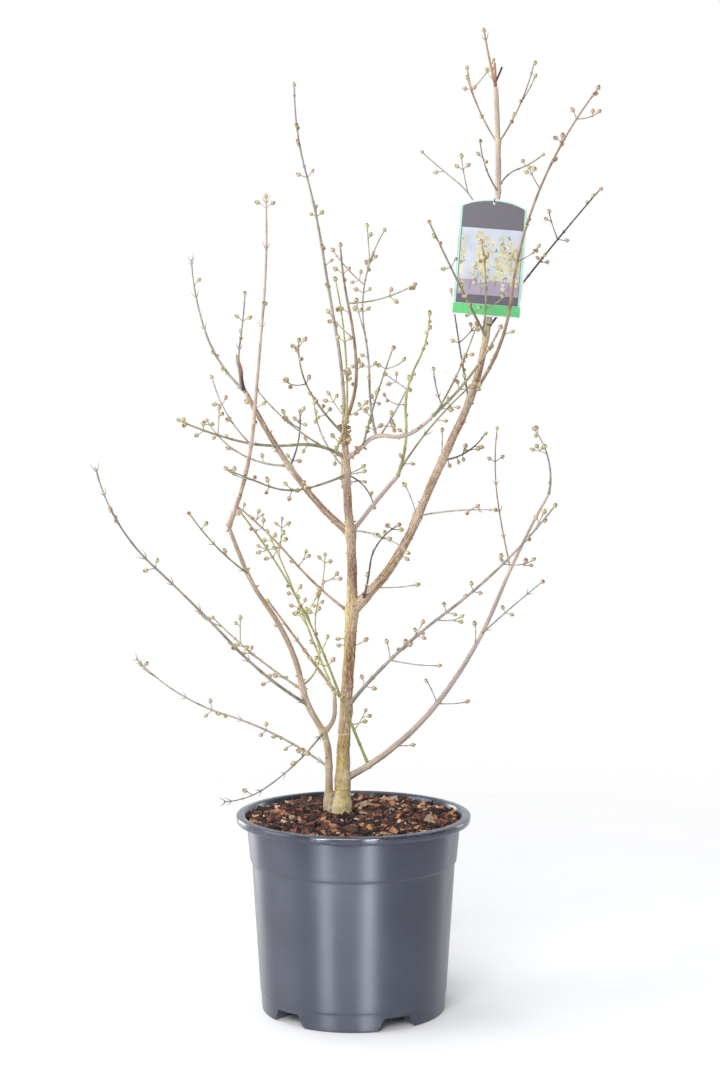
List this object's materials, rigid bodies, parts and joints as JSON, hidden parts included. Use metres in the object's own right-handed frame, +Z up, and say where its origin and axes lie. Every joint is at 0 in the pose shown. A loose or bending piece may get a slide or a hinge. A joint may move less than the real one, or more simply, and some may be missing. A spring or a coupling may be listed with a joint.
{
  "type": "potted cornelian cherry",
  "caption": "Young leafless flowering shrub with round flower buds on thin twigs, forking low down, in a round dark nursery pot filled with bark soil, with a plain picture label on its leader.",
  "frame": {"origin": "middle of the pot's flat underside", "axes": "+Z up, +X to the right of the front view, +Y away from the front view"},
  "size_m": [0.6507, 0.4724, 1.2441],
  "materials": {
    "pot_plastic": "satin slate grey",
    "substrate": "loose dark peat and bark chips",
    "bark": "fissured grey-brown bark, green algae low down",
    "twig": "smooth olive to grey-brown twig bark, tan-green buds",
    "label_card": "thin printed card, satin",
    "tie_cord": "thin white plastic loop"
  },
  "bodies": {
    "root": {"pot": "pot_plastic", "soil": "substrate", "trunk": "bark", "stem_left": "bark", "fork_left": "bark", "bough_left": "bark", "bough_right": "bark", "leader": "bark", "bough_right_low": "bark", "bough_right_second": "bark", "arm_right": "bark", "foot_left": "bark", "twigs_arm_back": "twig", "twigs_arm_front": "twig", "twigs_arm_tall": "twig", "twigs_arm_tip": "twig", "twigs_back_droop": "twig", "twigs_crotch": "twig", "twigs_far_left": "twig", "twigs_far_left_back": "twig", "twigs_fork_shoots": "twig", "twigs_green_front": "twig", "twigs_label_back": "twig", "twigs_leader_back": "twig", "twigs_leader_left": "twig", "twigs_leader_low_left": "twig", "twigs_leader_low_right": "twig", "twigs_leader_right": "twig", "twigs_leader_top": "twig", "twigs_left_brown": "twig", "twigs_left_high": "twig", "twigs_left_inner": "twig", "twigs_left_leader": "twig", "twigs_left_out": "twig", "twigs_left_riser": "twig", "twigs_left_sag": "twig", "twigs_left_under": "twig", "twigs_low_left_back": "twig", "twigs_low_left_front": "twig", "twigs_right_dark": "twig", "twigs_right_droop": "twig", "twigs_right_front": "twig", "twigs_right_level": "twig", "twigs_right_low_side": "twig", "twigs_right_low_tip": "twig", "twigs_right_low_up": "twig", "twigs_right_mid": "twig", "twigs_right_rider": "twig", "twigs_right_second": "twig", "twigs_right_up": "twig", "twigs_top_back": "twig", "twigs_top_brown": "twig", "twigs_top_front": "twig", "twigs_top_left": "twig", "twigs_top_tall": "twig", "label": "label_card", "label_tie": "tie_cord"}
  },
  "joints": []
}
